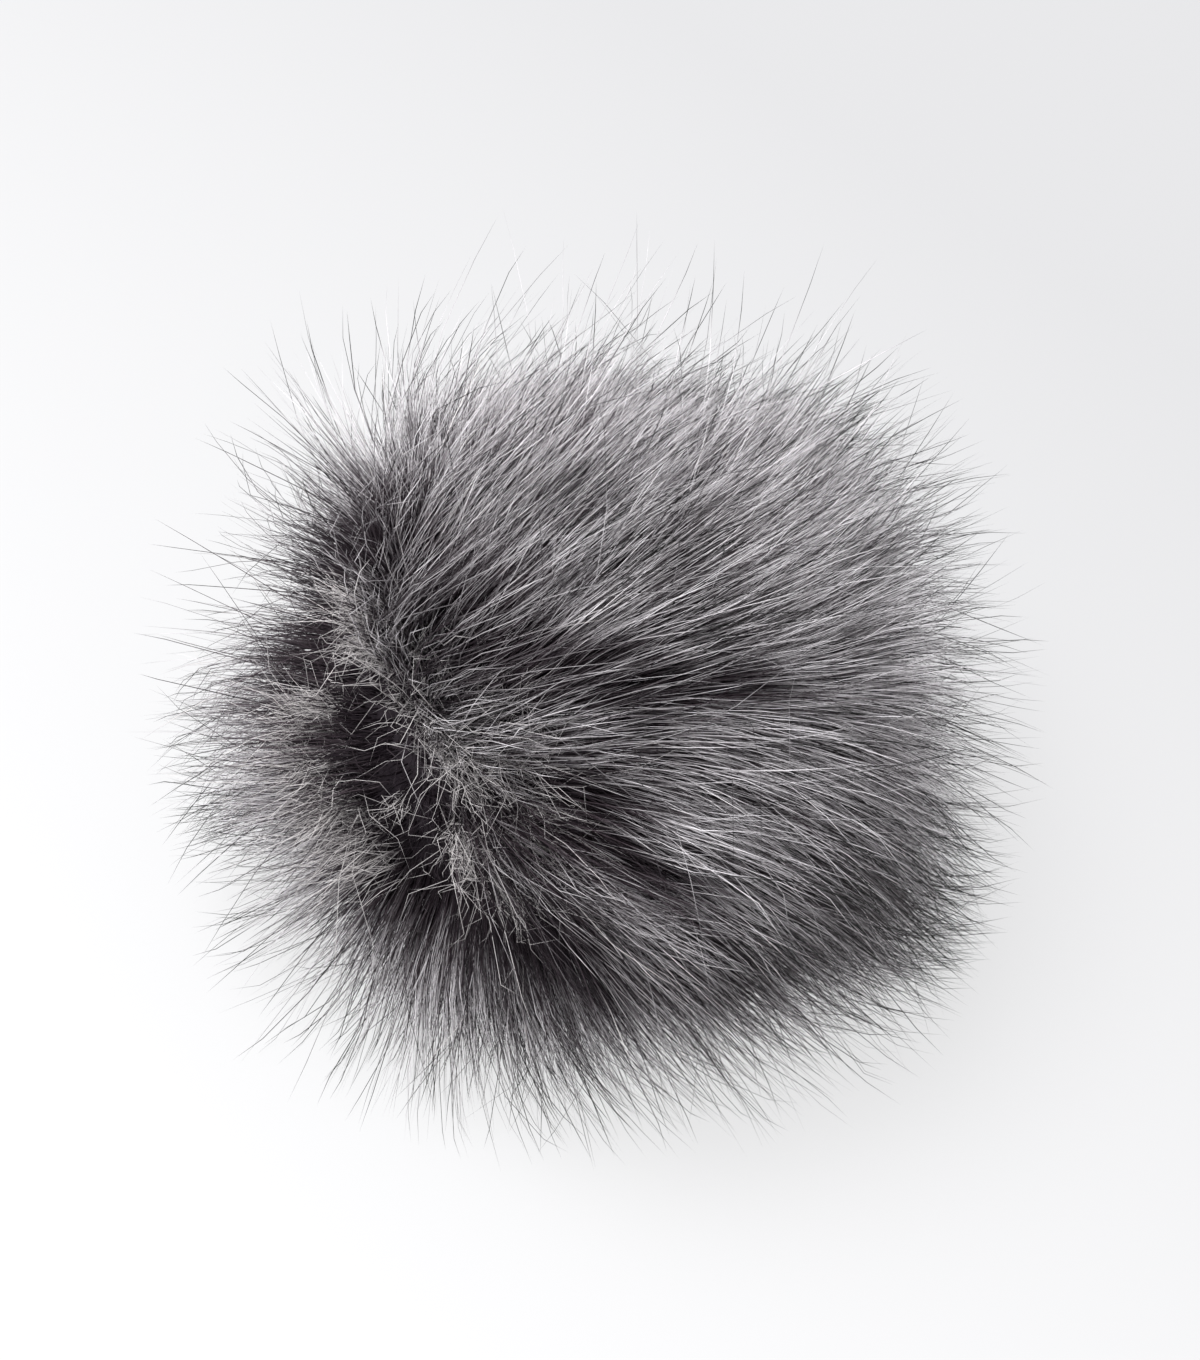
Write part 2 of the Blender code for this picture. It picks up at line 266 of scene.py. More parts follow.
COMB = (
    # place right of and above the ball's middle, as shares of its outline, then the way that the
    # tips point there, in degrees up from the right, and how far they lean
    (-0.40, 0.88, 60, 1.2), (-0.06, 0.93, 46, 1.4), (0.25, 0.95, 42, 1.4), (0.51, 0.85, 38, 1.3),
    (0.70, 0.69, 40, 1.1), (-0.56, 0.66, 52, 1.2), (-0.31, 0.69, 46, 1.5), (0.03, 0.68, 38, 1.7),
    (0.30, 0.68, 39, 1.7), (0.57, 0.66, 42, 1.5), (0.83, 0.53, 42, 1.1), (-0.62, 0.40, 42, 0.9),
    (-0.40, 0.40, 44, 1.3), (-0.09, 0.40, 36, 1.7), (0.20, 0.40, 35, 1.8), (0.47, 0.40, 33, 1.7),
    (0.75, 0.38, 30, 1.4), (0.95, 0.27, 28, 1.0), (-0.43, 0.15, 40, 1.2), (-0.12, 0.15, 38, 1.7),
    (0.15, 0.15, 32, 1.8), (0.40, 0.15, 22, 1.8), (0.67, 0.15, 16, 1.5), (0.96, 0.08, 6, 1.0),
    (-0.38, -0.06, 24, 1.2), (-0.12, -0.06, 20, 1.7), (0.15, -0.06, 10, 1.8), (0.40, -0.06, 0, 1.8),
    (0.67, -0.06, -14, 1.5), (0.97, -0.12, -15, 1.0), (-0.31, -0.23, 8, 1.3), (-0.03, -0.24, 0, 1.7),
    (0.23, -0.25, -8, 1.8), (0.47, -0.25, -20, 1.8), (0.72, -0.25, -35, 1.5), (0.94, -0.31, -36, 1.0),
    (-0.43, -0.19, 6, 1.4), (-0.45, -0.36, -22, 1.5), (-0.31, -0.41, -28, 1.4), (-0.03, -0.45, -14, 1.6),
    (0.23, -0.45, -12, 1.8), (0.47, -0.45, -22, 1.7), (0.71, -0.45, -42, 1.4), (0.86, -0.48, -42, 1.0),
    (-0.55, -0.66, -95, 1.2), (-0.28, -0.62, -60, 1.3), (0.00, -0.65, -38, 1.5), (0.25, -0.65, -17, 1.6),
    (0.50, -0.65, -26, 1.5), (0.71, -0.68, -42, 1.1), (-0.56, -0.80, -95, 1.0), (-0.31, -0.84, -72, 1.0),
    (-0.06, -0.88, -58, 1.0), (0.20, -0.89, -45, 1.0), (0.45, -0.86, -36, 1.0), (-0.60, 0.77, 118, 0.3),
    (-0.75, 0.64, 148, 0.4), (-0.88, 0.44, 168, 0.3), (-0.97, 0.20, 176, 0.3), (-0.99, -0.06, 182, 0.3),
    (-0.94, -0.30, 190, 0.4), (-0.84, -0.51, 205, 0.6),
)

TUFTS = (
    # root right of and above the ball's middle, as shares of its outline, then the way that the
    # tips point, in degrees up from the right, how far they lean, how far they lean towards the
    # camera besides, and the tuft's width and length in millimetres
    (-0.67, -0.15, 8, 1.7, 0.0, 2.2, 16), (-0.60, -0.19, 2, 1.8, 0.0, 2.0, 16),
    (-0.62, -0.27, -4, 1.6, 0.0, 1.8, 14), (-0.51, -0.29, -8, 1.7, 0.0, 2.2, 15),
    (-0.48, -0.36, -10, 1.6, 0.0, 1.8, 14), (-0.80, -0.05, 22, 1.3, 0.0, 1.6, 12),
    (-0.61, -0.01, 40, 1.4, 0.0, 1.6, 13), (-0.68, 0.17, 36, 1.3, 0.0, 2.0, 13),
    (-0.44, -0.66, -14, 1.6, 0.0, 1.8, 14), (-0.49, -0.64, -22, 1.5, 0.0, 2.0, 14),
    (-0.53, -0.66, -42, 1.5, 0.0, 1.8, 13), (-0.36, -0.77, -36, 1.6, 0.0, 2.0, 14),
    (-0.36, -0.22, 2, 1.8, 0.0, 2.4, 16), (-0.30, -0.43, -8, 1.7, 0.0, 2.2, 15),
    (-0.27, -0.60, -18, 1.7, 0.0, 2.2, 15), (-0.43, -0.09, 18, 1.7, 0.0, 2.0, 15),
    (-0.82, 0.34, 30, 1.0, 0.0, 2.2, 12), (-0.88, 0.39, 60, 0.8, 0.0, 2.0, 12),
    (-0.87, 0.32, 150, 0.5, 0.0, 1.6, 10), (-0.83, 0.19, 40, 0.4, 0.0, 1.6, 9),
    (-0.69, 0.21, 80, 0.5, 0.0, 1.4, 9), (-0.75, 0.10, -20, 0.4, 0.0, 1.4, 9),
    (-0.79, -0.47, 60, 0.3, 0.8, 1.1, 8), (-0.98, -0.03, 180, 0.5, 0.2, 1.7, 12),
    (-0.99, -0.08, 215, 0.4, 0.3, 1.8, 12), (-0.98, -0.13, 155, 0.4, 0.4, 1.9, 13),
    (-0.97, -0.19, 130, 0.4, 0.2, 1.9, 12), (-0.95, -0.26, 200, 0.4, 0.4, 1.9, 12),
    (-0.94, -0.31, 165, 0.4, 0.2, 1.9, 14), (-0.92, -0.37, 225, 0.4, 0.4, 1.9, 13),
    (-0.89, -0.43, 160, 0.4, 0.2, 1.8, 14), (-0.86, -0.49, 140, 0.4, 0.3, 1.8, 13),
    (-0.81, -0.57, 200, 0.4, 0.3, 1.8, 14), (-0.74, -0.66, 175, 0.4, 0.4, 1.8, 14),
)


def seen(right: Array, up: Array, back: Array) -> Array:
    """Returns vectors with these shares right, up and back as the camera sees them."""
    return np.stack((right, up, back), 1) @ VIEW


def places_seen(rows: Array) -> Array:
    """Returns the places on the ball, as unit vectors, that lie behind the rows' first two values."""
    right, up = rows[:, 0], rows[:, 1]
    return seen(right, up, np.sqrt(1 - right**2 - up**2))


def runs_seen(rows: Array, droop: float) -> Array:
    """Works out the runs across the ball that look, from the camera, as the rows say.

    A run lies level on the ball. The outward direction, the run and the droop together have no part
    beside the way that the tips point, and the rest of the run leads onward over the ball.

    Args:
        rows: place right and up, way in degrees and lean.
        droop: of the tips, already in the ways that they point.

    Returns:
        The runs, as long as the leans.
    """
    places = places_seen(rows)
    way, lean = np.radians(rows[:, 2]), rows[:, 3]
    beside = seen(-np.sin(way), np.cos(way), np.zeros(len(way)))
    side = (places * beside).sum(1)
    level = unit(beside - side[:, None] * places)
    onward = unit(np.cross(beside, places))
    turned = (droop * beside[:, 2] - side) / (lean * np.sqrt(1 - side**2))
    turned = np.clip(turned, -MOST_TURNED, MOST_TURNED)
    return lean[:, None] * (turned[:, None] * level + np.sqrt(1 - turned**2)[:, None] * onward)


@dataclass(frozen=True)
class Comb:
    """The way the pile is combed: runs across the ball at some places, blended in between.

    reach is how far a place counts, as a chord of the unit ball, and calm how much the run counts
    that holds far from all places.
    """

    rows: tuple[tuple[float, ...], ...] = COMB
    reach: float = 0.23
    calm: float = 0.04
    droop: float = 0.19

    def run(self, outward: Array, base: Array) -> Array:
        """Blends the runs, each with a bell-shaped weight about its place.

        Args:
            outward: unit vectors from the ball's middle.
            base: the run far from all places.

        Returns:
            The runs across the ball, level with its surface.
        """
        rows = np.array(self.rows)
        weights = np.exp((outward @ places_seen(rows).T - 1) * (2 / self.reach**2))
        total = weights.sum(-1, keepdims=True) + self.calm
        run = (weights @ runs_seen(rows, self.droop) + self.calm * base) / total
        return run - (run * outward).sum(-1, keepdims=True) * outward


@dataclass(frozen=True)
class PileFlow:
    """Which way the pile runs, as one smooth field of directions around the ball's middle.

    It is the outward direction, plus the comb's run, which counts bend at the root and more up to
    bend_height, plus a slow wave, less a droop that grows up to reach. Out of the comb's reach the
    run leans away from the parting, fully from lean_full on, and fades out round the back. Near the
    surface below, the flow is turned level, and under the ball it spreads out sideways. Hairs are
    cut short on the parting and reach their full length between the angles of cut.
    """

    centre: Array
    ball_radius: float = 0.0370
    comb: Comb = Comb()
    bend: tuple[float, float] = (0.60, 0.50)
    bend_height: float = 0.020
    reach: float = 0.0325
    lean: float = 1.30
    lean_full: float = math.radians(32)
    lean_fade: tuple[float, float] = (math.radians(60), math.radians(125))
    underside: tuple[float, float] = (0.20, 0.80)
    underside_calm: float = 0.9
    underside_spread: float = 0.90
    underside_length: float = 0.55
    cut: tuple[float, float] = (math.radians(5), math.radians(22))
    droop: float = 0.35
    wave: float = 0.06
    wave_length: float = 0.030
    floor_reach: float = 0.0030
    lowest: float = 0.0003
    steps: int = 8

    def slow_wave(self, points: Array) -> Array:
        """Returns crossed sine waves of the places, about wave_length from crest to crest."""
        x, y, z = np.moveaxis((points - self.centre) * (2 * math.pi / self.wave_length), -1, 0)
        first = np.sin((y + 1.3, z + 2.1, x + 0.2))
        second = np.sin((0.7 * z + 0.4, 0.8 * x + 1.9, 0.6 * y + 2.7))
        return np.moveaxis(first + second, 0, -1)

    def direction(self, points: Array) -> Array:
        """Works out the flow at some places.

        Args:
            points: places around the ball.

        Returns:
            The flow there, as unit vectors.
        """
        reach = points - self.centre
        outward = unit(reach)
        height = np.linalg.norm(reach, axis=-1) - self.ball_radius
        nearest = PARTING.nearest(outward)
        angle = angle_between(outward, nearest)
        away = unit(outward * (nearest * outward).sum(-1)[..., None] - nearest)
        lean = self.lean * smooth(0.0, self.lean_full, angle) * (1 - smooth(*self.lean_fade, angle))
        under = smooth(*self.underside, -outward[..., 2])
        run = self.comb.run(outward, (lean * (1 - self.underside_calm * under))[..., None] * away)
        growth = self.bend[0] + self.bend[1] * smooth(0.0, self.bend_height, height)
        flow = outward + growth[..., None] * run + self.wave * self.slow_wave(points)
        flow[..., :2] += self.underside_spread * under[..., None] * unit(outward[..., :2])
        flow[..., 2] -= self.droop * smooth(0.0, self.reach, height)
        lift = 1 - np.exp(-np.maximum(points[..., 2] - self.lowest, 0.0) / self.floor_reach)
        flow[..., 2] = np.where(flow[..., 2] < 0, flow[..., 2] * lift, flow[..., 2])
        return unit(flow)

    def lengths(self, outward: Array, length: Array, short: float) -> Array:
        """Returns the lengths, cut short on the parting and where the ball faces down."""
        under = smooth(*self.underside, -outward[..., 2])
        grown = smooth(*self.cut, PARTING.angle(outward))
        share = 1 + sum(zone.growth * zone.cover(outward) for zone in ZONES)
        share = share * (1 - (1 - self.underside_length) * under)
        return length * share * (short + (1 - short) * grown)

    def follow(self, roots: Array, lengths: Array, stations: tuple) -> Array:
        """Carries points along the flow, in midpoint steps of at most an eighth of their length.

        Args:
            roots: where the hairs start, one row for each.
            lengths: how far each of them runs.
            stations: shares of that length at which its place is kept.

        Returns:
            The places, by station, hair and axis.
        """
        points, done, path = roots, 0.0, []
        for station in stations:
            count = max(1, math.ceil((station - done) * self.steps))
            step = (lengths * (station - done) / count)[:, None]
            for _ in range(count if station > done else 0):
                half = points + 0.5 * step * self.direction(points)
                points = points + step * self.direction(half)
            done = station
            path.append(points)
        return np.stack(path)


@dataclass(frozen=True)
class Streak:
    """A line on the ball along which the pile lies darker or sinks in.

    width is in radians and depth in metres. dark is a share of the way back along the colour bands to
    the roots, which paints shade over the hairs in the roots' own dark colour, and tone is added to
    the lightness, as painted shade too.
    """

    line: Arc
    width: float
    dark: float = 0.0
    depth: float = 0.0
    tone: float = 0.0


# Hollows and creases of the pile: the hairs sink in and are painted darker there, painted shade where the
# dark roots show.
SHADED_STREAKS = (
    Streak(PARTING, width=0.46, dark=0.95, depth=0.004, tone=-0.50),
    Streak(
        Arc(((-0.57, -0.56, 0.60), (-0.34, -0.54, 0.77), (-0.06, -0.56, 0.83), (0.28, -0.62, 0.74))),
        width=0.15, dark=0.42, depth=0.002, tone=-0.12,
    ),
    Streak(
        Arc(((-0.43, -0.83, 0.35), (-0.21, -0.88, 0.42), (0.05, -0.89, 0.45))),
        width=0.20, dark=0.55, depth=0.003, tone=-0.15,
    ),
    Streak(
        Arc(((-0.22, -0.75, 0.62), (0.28, -0.76, 0.59))),
        width=0.16, dark=0.12, depth=0.001, tone=-0.16,
    ),
    Streak(
        Arc(((0.19, -0.94, 0.28), (0.40, -0.90, 0.16))),
        width=0.09, dark=0.50, depth=0.003, tone=-0.20,
    ),
    Streak(
        Arc(((-0.62, -0.77, -0.06), (-0.43, -0.90, -0.06), (-0.17, -0.98, -0.06))),
        width=0.33, dark=0.92, depth=0.004, tone=-0.45,
    ),
    Streak(
        Arc(((-0.07, -0.99, -0.08), (0.14, -0.95, -0.28))),
        width=0.12, dark=0.44, depth=0.001, tone=-0.20,
    ),
    Streak(Arc(((0.28, -0.95, -0.13), (0.53, -0.74, -0.40), (0.70, -0.64, -0.31))), width=0.12, dark=0.30),
    Streak(
        Arc(((0.47, -0.54, 0.69), (0.67, -0.48, 0.57))),
        width=0.08, dark=0.42, depth=0.002, tone=-0.15,
    ),
    Streak(
        Arc(((-0.60, 0.10, 0.79), (-0.56, -0.16, 0.82), (-0.21, -0.39, 0.90))),
        width=0.22, dark=0.30, depth=0.001, tone=-0.12,
    ),
)


@dataclass(frozen=True)
class Zone:
    """A wide patch of the ball whose hairs differ.

    tone is added to their lightness, and on the top and right of the ball is painted light, end to the
    place along the colour bands at which they stop, and growth to their length, as a share of it.
    sparse is the share of the long hairs that is left out.
    """

    towards: Direction
    reach: float  # radians
    tone: float = 0.0
    end: float = 0.0
    growth: float = 0.0
    sparse: float = 0.0

    def cover(self, outward: Array) -> Array:
        """Returns 1 in the middle of the zone, falling off as a bell."""
        return np.exp(-((angle_between(outward, unit(np.array(self.towards))) / self.reach) ** 2))


ZONES = (
    # direction and reach, then what differs there
    Zone((-0.10, 0.46, 0.88), 0.60, growth=-0.46, sparse=0.52),
    # painted light: the top of the ball is paler, with shorter dark tips, where light falls from above
    Zone((0.10, 0.58, 0.81), 0.60, tone=0.80, end=-0.15),
    # paler hair with a painted highlight on the upper right
    Zone((0.72, 0.42, 0.55), 0.40, tone=0.48, growth=0.08, sparse=0.20),
    Zone((0.55, -0.75, 0.15), 0.34, growth=0.46),
    Zone((0.76, -0.60, -0.25), 0.36, tone=-0.60, end=0.22, growth=0.46),
    Zone((0.50, -0.80, 0.28), 0.34, tone=0.20, end=-0.05),
    Zone((0.10, -0.96, -0.28), 0.40, tone=-0.25, end=0.10, growth=-0.06),
    Zone((-0.40, -0.80, -0.45), 0.32, tone=0.05, growth=-0.06),
    # paler hair with painted light on the right side
    Zone((0.90, -0.30, 0.15), 0.50, tone=0.42, growth=0.08),
    Zone((-0.97, -0.18, -0.08), 0.40, tone=0.20, growth=0.08, sparse=0.26),
    Zone((-0.97, 0.15, 0.10), 0.30, growth=0.15),
    Zone((-0.62, 0.50, 0.60), 0.34, tone=0.12, growth=-0.14),
    Zone((0.45, -0.78, -0.43), 0.32, growth=-0.16),
    Zone((-0.72, -0.58, -0.36), 0.34, tone=-0.22, end=0.14, growth=0.10),
)


@dataclass(frozen=True)
class Clumps:
    """Guide hairs, spread evenly over the ball, to which the hairs around them gather.

    path holds the guides' places in even steps up to reach, by step, guide and axis. pulls says
    how strongly each guide gathers its hairs, tones how much lighter they are, and growths how
    much longer.
    """

    seeds: Array
    path: Array
    reach: float
    pulls: Array
    tones: Array
    growths: Array

    def owners(self, outward: Array) -> Array:
        """Returns the number of the nearest guide to each direction, found in slices."""
        slices = np.array_split(outward.astype(np.float32), max(1, len(outward) // SLICE))
        seeds = self.seeds.astype(np.float32).T
        return np.concatenate([np.argmax(part @ seeds, axis=1) for part in slices])

    def places(self, numbers: Array, travelled: Array) -> Array:
        """Reads where guides are after so much of their length, in between their steps.

        Args:
            numbers: of the guides, one for each hair.
            travelled: metres from the root, by station and hair.

        Returns:
            The places, by station, hair and axis.
        """
        last = len(self.path) - 1
        step = np.clip(travelled / self.reach * last, 0.0, last - 0.001)
        low = step.astype(int)
        part = (step - low)[..., None]
        return self.path[low, numbers] * (1 - part) + self.path[low + 1, numbers] * part


@dataclass(frozen=True)
class MattedBall:
    """The matted inner pile: a lumpy ball, dimpled at the parting, deeper and flat below."""

    centre: Array
    radius: float = 0.0362
    lower_depth: float = 0.0452
    dimple: float = 0.0050
    dimple_angle: float = math.radians(20)
    lump: float = 0.0007
    lump_length: float = 0.011
    lump_phases: Direction = (0.5, 1.1, 2.3)
    rings: int = 90
    turns: int = 120
    finish: MattedFinish = MattedFinish()

    def surface(self, outward: Array) -> Array:
        """Works out the places on the ball that lie in some directions.

        The radius is the ball's own, less a bell-shaped dimple at the parting, plus crossed sine
        lumps. Below the middle it is stretched downwards to lower_depth, and cut off at the floor.

        Args:
            outward: unit vectors from the ball's middle.

        Returns:
            The places.
        """
        wave = outward * (self.radius * 2 * math.pi / self.lump_length) + self.lump_phases
        x, y, z = np.moveaxis(np.sin(wave), -1, 0)
        lumps = x * y + z
        dimple = self.dimple * np.exp(-((PARTING.angle(outward) / self.dimple_angle) ** 2))
        reach = outward * (self.radius + self.lump * lumps - dimple)[..., None]
        stretch = np.where(outward[..., 2] < 0, self.lower_depth / self.radius, 1.0)
        reach[..., 2] *= stretch
        places = self.centre + reach
        places[..., 2] = np.maximum(places[..., 2], 0.0)
        return places

    def build(self) -> Object:
        """Builds the ball as a grid of rings and turns, closed by a point at either pole.

        A ring's height angle is its number's even share of a half turn, and a corner's turn is its
        number's even share of a whole one.

        Returns:
            The ball, with its material.
        """
        height = math.pi * np.arange(1, self.rings) / self.rings
        turn = 2 * math.pi * np.arange(self.turns) / self.turns
        height, turn = np.meshgrid(height, turn, indexing="ij")
        outward = np.stack(
            (np.sin(height) * np.cos(turn), np.sin(height) * np.sin(turn), np.cos(height)), -1
        )
        poles = np.array(((0.0, 0.0, 1.0), (0.0, 0.0, -1.0)))
        corners = self.surface(np.concatenate((poles, outward.reshape(-1, 3))))
        first = len(poles) + np.arange(self.turns)
        last = first + (self.rings - 2) * self.turns
        quads = len(poles) + np.roll(tube_faces(self.rings - 1, self.turns)[:, ::-1], 1, axis=1)
        caps = np.concatenate((cap_faces(first, 0), cap_faces(last[::-1], 1)))
        mesh = mesh_from(corners, quads, caps, "matted_ball")
        mesh.materials.append(self.material())
        return link("matted_ball", mesh)

    def material(self) -> Material:
        """Makes the matted fibres: dark and pale wisps drawn out along the ball, with a relief."""
        look, finish = Look("matted_fibres"), self.finish
        place = look.add("ShaderNodeTexCoord").outputs["Object"]
        fibres = {"Vector": place, "Fineness": finish.fineness, "Contrast": finish.contrast}
        wisps = look.add("ShaderNodeGroup", fibres, node_tree=fibre_group()).outputs["Value"]
        raised = {"Strength": finish.strength, "Distance": finish.relief, "Height": wisps}
        normal = look.add("ShaderNodeBump", raised).outputs["Normal"]
        inputs = {"Base Color": look.mix(wisps, finish.dark, finish.pale), "Normal": normal}
        return look.finish(inputs | gloss(finish.roughness, finish.specular))


class Wiring:
    """A node tree under construction, with short ways to add and join its nodes."""

    def __init__(self, tree: Tree) -> None:
        """Starts on that tree."""
        self.tree = tree

    def join(self, source: Source, end: Socket) -> None:
        """Joins an output to an input, or gives the input a fixed value."""
        if isinstance(source, Socket):
            self.tree.links.new(source, end)
        else:
            end.default_value = source

    def add(self, kind: str, inputs: dict | None = None, **settings) -> Node:
        """Adds a node.

        Args:
            kind: type of the node.
            inputs: by name or number, the fixed value of an input or the output that feeds it.
            settings: the node's own, by name.

        Returns:
            The node.
        """
        node = self.tree.nodes.new(kind)
        for name, value in settings.items():
            setattr(node, name, value)
        for name, source in (inputs or {}).items():
            self.join(source, node.inputs[name])
        return node

    def calculate(self, operation: str, *values: Source, clamp: bool = True) -> Socket:
        """Adds a Math node with values for its inputs in order, and returns its output."""
        settings = {"operation": operation, "use_clamp": clamp}
        return self.add("ShaderNodeMath", dict(enumerate(values)), **settings).outputs[0]

    def mix(self, share: Source, first: Source, second: Source) -> Socket:
        """Mixes two colours by the share of the second, and returns the output with the mix."""
        node = self.add("ShaderNodeMix", {0: share, 6: first, 7: second}, data_type="RGBA")
        return node.outputs[2]


class Look(Wiring):
    """A material under construction."""

    def __init__(self, name: str) -> None:
        """Starts a material of that name with an empty Principled BSDF."""
        self.material = bpy.data.materials.new(name)
        self.material.use_nodes = True
        super().__init__(self.material.node_tree)

    def finish(self, inputs: dict) -> Material:
        """Feeds the shader's inputs by name, and returns the material."""
        shader = self.tree.nodes["Principled BSDF"]
        for name, source in inputs.items():
            self.join(source, shader.inputs[name])
        return self.material


class Group(Wiring):
    """A shader node group under construction, with named inputs and one named output."""

    def __init__(self, name: str, inputs: dict[str, str], output: str, kind: str) -> None:
        """Starts the group.

        Args:
            name: of the group.
            inputs: each input's name, with its socket type.
            output: the output's name.
            kind: the output's socket type.
        """
        super().__init__(bpy.data.node_groups.new(name, "ShaderNodeTree"))
        for title, given in inputs.items():
            self.tree.interface.new_socket(title, in_out="INPUT", socket_type=given)
        self.tree.interface.new_socket(output, in_out="OUTPUT", socket_type=kind)
        self.entry = self.tree.nodes.new("NodeGroupInput")
        self.exit = self.tree.nodes.new("NodeGroupOutput")

    def given(self, name: str) -> Socket:
        """Returns the group's input of that name, as an output to join on."""
        return self.entry.outputs[name]

    def finish(self, source: Socket) -> Tree:
        """Gives the group's output its value, and returns the group."""
        self.join(source, self.exit.inputs[0])
        return self.tree


@cache
def fibre_group() -> Tree:
    """Makes, once, the group that gives fine uneven fibres as a value from 0 to 1.

    Noise at the given fineness, stretched away from its middle value by the contrast.

    Returns:
        The group, with inputs Vector, Fineness and Contrast and output Value.
    """
    kinds = {"Vector": VECTOR, "Fineness": NUMBER, "Contrast": NUMBER}
    group = Group("fibre_mottle", kinds, "Value", NUMBER)
    given = {"Vector": group.given("Vector"), "Scale": group.given("Fineness")}
    noise = group.add("ShaderNodeTexNoise", given | {"Detail": 3.0, "Roughness": 0.6})
    centred = group.calculate("SUBTRACT", noise.outputs["Fac"], 0.5, clamp=False)
    return group.finish(group.calculate("MULTIPLY_ADD", centred, group.given("Contrast"), 0.5))


@cache
def band_group() -> Tree:
    """Makes, once, the group that colours a hair in bands along its length.

    The root colour is a mix of Root and Pale Root by Tone, and the middle one a mix of Shade and
    Light. The middle takes over from the root between Root End and Middle Start, and gives way to
    Tip between Tip Start and Tip End, each along an S curve.

    Returns:
        The group, with output Color.
    """
    kinds = dict.fromkeys(("Tone", "Along", *BAND_PLACES), NUMBER) | dict.fromkeys(BAND_COLOURS, COLOUR)
    group = Group("hair_bands", kinds, "Color", COLOUR)
    root, pale_root, shade, light, tip = (group.given(name) for name in BAND_COLOURS)
    last = group.mix(group.given("Tone"), root, pale_root)
    middle = group.mix(group.given("Tone"), shade, light)
    for start, end, colour in (("Root End", "Middle Start", middle), ("Tip Start", "Tip End", tip)):
        inputs = {
            "Value": group.given("Along"),
            "From Min": group.given(start),
            "From Max": group.given(end),
        }
        share = group.add("ShaderNodeMapRange", inputs, interpolation_type="SMOOTHSTEP")
        last = group.mix(share.outputs["Result"], last, colour)
    return group.finish(last)


def hair_material(name: str, finish: HairFinish) -> Material:
    """Makes a coat's material, which reads tone and place along the hair from its UV map.

    Args:
        name: of the material.
        finish: its colours, bands and gloss.

    Returns:
        The material.
    """
    look = Look(name)
    layout = look.add("ShaderNodeUVMap", uv_map=UV_MAP).outputs["UV"]
    parts = look.add("ShaderNodeSeparateXYZ", {"Vector": layout})
    spread = look.add("ShaderNodeVectorMath", {0: layout, 1: finish.mottle}, operation="MULTIPLY")
    fibres = {"Vector": spread.outputs["Vector"], "Fineness": 1.0, "Contrast": finish.uneven}
    mottle = look.add("ShaderNodeGroup", fibres, node_tree=fibre_group())
    shift = look.calculate("SUBTRACT", mottle.outputs["Value"], 0.5, clamp=False)
    tone = look.calculate("ADD", parts.outputs["X"], shift)
    given = {"Tone": tone, "Along": parts.outputs["Y"]} | finish.bands()
    bands = look.add("ShaderNodeGroup", given, node_tree=band_group())
    shine = gloss(finish.roughness, finish.specular)
    return look.finish({"Base Color": bands.outputs["Color"]} | shine)


def link(name: str, data: bpy.types.ID) -> Object:
    """Puts an object of that name, with that data, into the scene, and returns it."""
    piece = bpy.data.objects.new(name, data)
    bpy.context.scene.collection.objects.link(piece)
    return piece


def mesh_from(
    corners: Array, quads: Array, triangles: Array, name: str, uvs: Array | None = None
) -> Mesh:
    """Makes a smooth mesh from whole arrays.

    Args:
        corners: one row of three for each corner.
        quads: corner numbers of the four-sided faces, facing outwards.
        triangles: corner numbers of the three-sided faces, which come after them.
        name: of the mesh.
        uvs: one row of two for each corner of each face, in the faces' order.

    Returns:
        The mesh.
    """
    mesh = bpy.data.meshes.new(name)
    loops = np.concatenate((quads.ravel(), triangles.ravel())).astype(np.int32)
    sizes = np.concatenate((np.full(len(quads), 4), np.full(len(triangles), 3)))
    starts = np.concatenate(((0,), np.cumsum(sizes)[:-1])).astype(np.int32)
    mesh.vertices.add(len(corners))
    mesh.vertices.foreach_set("co", corners.astype(np.float32).ravel())
    mesh.loops.add(len(loops))
    mesh.loops.foreach_set("vertex_index", loops)
    mesh.polygons.add(len(sizes))
    mesh.polygons.foreach_set("loop_start", starts)
    if uvs is not None:
        layout = mesh.uv_layers.new(name=UV_MAP)
        layout.uv.foreach_set("vector", uvs.astype(np.float32).ravel())
    mesh.update(calc_edges=True)
    mesh.shade_smooth()
    return mesh


